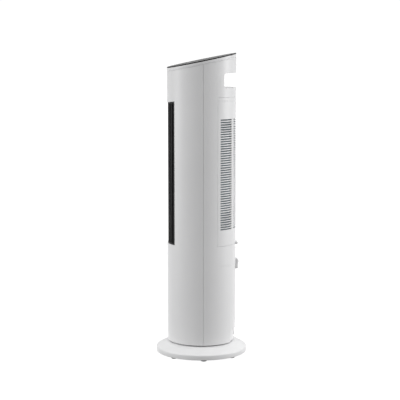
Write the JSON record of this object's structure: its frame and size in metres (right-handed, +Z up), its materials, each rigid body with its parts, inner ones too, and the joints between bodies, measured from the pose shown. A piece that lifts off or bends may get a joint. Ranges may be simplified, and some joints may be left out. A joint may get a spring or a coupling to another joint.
{
  "type": "ceramic space heater",
  "caption": "Upright round tower heater with a slanted black touch top, a slatted front outlet, a pull-off rear filter door and a round swivel base.",
  "frame": {"origin": "on the floor, under the tower's upright axis, at the centre of the round base", "axes": "+Z up; the air outlet faces -Y and the filter door and hand notch face +Y; +X is the heater's left side seen from the front"},
  "size_m": [0.24, 0.24, 0.7919],
  "materials": {
    "white_shell": "smooth white moulding, low gloss",
    "inner_white": "plain white moulding",
    "black_panel": "piano-black gloss",
    "black_slats": "black moulding, satin",
    "filter_net": "fine woven net",
    "grey_plastic": "plain grey moulding",
    "switch_grey": "light grey moulding",
    "switch_dark": "black moulding",
    "heat_plastic": "heat-proof dark moulding",
    "ceramic": "fired ceramic heating bars",
    "fin_aluminium": "thin mill-finish sheet",
    "brass_tab": "plain brass and bronze",
    "steel": "plain steel",
    "zinc_steel": "zinc-plated steel",
    "iron": "plain cast plate",
    "foot_rubber": "grey rubber",
    "gear_nylon": "natural nylon",
    "circuit_green": "laminate with a green mask",
    "component_dark": "moulded component cases"
  },
  "bodies": {
    "base": {"base_cover": "white_shell", "base_plate": "inner_white", "base_feet": "foot_rubber", "base_weight": "iron", "glide_ring": "inner_white", "swivel_motor": "steel", "tip_switch": "grey_plastic", "base_screws": "zinc_steel"},
    "tower": {"front_shell": "white_shell", "rear_shell": "white_shell", "top_cap": "white_shell", "grip_liner": "white_shell", "lead_cover": "white_shell", "tower_floor": "inner_white", "touch_panel": "black_panel", "display_module": "black_panel", "outlet_grille": "black_slats", "intake_guard": "grey_plastic", "duct_floor": "grey_plastic", "duct_roof": "grey_plastic", "fan_volute": "grey_plastic", "fan_cutoff": "grey_plastic", "switch_housing": "switch_grey", "cord_gland": "switch_grey", "gland_nut": "switch_grey", "heater_frame": "heat_plastic", "ceramic_bars": "ceramic", "heater_fins": "fin_aluminium", "heater_terminals": "brass_tab", "shaft_bush": "brass_tab", "fan_motor": "steel", "thermal_cutout": "steel", "outlet_guard": "steel", "board_bracket": "zinc_steel", "gear_screws": "zinc_steel", "floor_screws": "zinc_steel", "motor_mounts": "foot_rubber", "swivel_gear": "gear_nylon", "control_board": "circuit_green", "display_board": "circuit_green", "board_components": "component_dark", "board_standoffs": "component_dark", "display_standoffs": "component_dark"},
    "fan_rotor": {"fan_wheel": "switch_dark", "fan_shaft": "steel", "motor_rotor": "steel"},
    "pinion": {"swivel_pinion": "gear_nylon"},
    "rocker": {"switch_rocker": "switch_grey"},
    "door": {"filter_door": "white_shell", "filter_frame": "inner_white", "filter_mesh": "filter_net"},
    "plunger": {"tip_plunger": "switch_grey"}
  },
  "joints": [
    {"name": "tower_swivel", "type": "hinge", "parent": "base", "child": "tower", "pos_m": [0, 0, 0.033], "axis": [0, 0, 1], "range_deg": [-35, 35]},
    {"name": "pinion_spin", "type": "hinge", "parent": "base", "child": "pinion", "pos_m": [0, 0.05625, 0.02], "axis": [0, 0, 1], "range_deg": [-142, 142]},
    {"name": "fan_spin", "type": "hinge", "parent": "tower", "child": "fan_rotor", "pos_m": [0, 0.006, 0.3], "axis": [0, 0, 1], "continuous": true},
    {"name": "switch_rock", "type": "hinge", "parent": "tower", "child": "rocker", "pos_m": [0, 0.086, 0.2375], "axis": [1, 0, 0], "range_deg": [0, 16]},
    {"name": "door_pull", "type": "slide", "parent": "tower", "child": "door", "axis": [0, 1, 0], "range_m": [0, 0.06]},
    {"name": "tip_travel", "type": "slide", "parent": "base", "child": "plunger", "axis": [0, 0, -1], "range_m": [0, 0.004], "stiffness_N_per_m": 120, "springref_m": 0.008}
  ],
  "couplings": [
    {"joint": "pinion_spin", "follows": "tower_swivel", "ratio": -4}
  ]
}
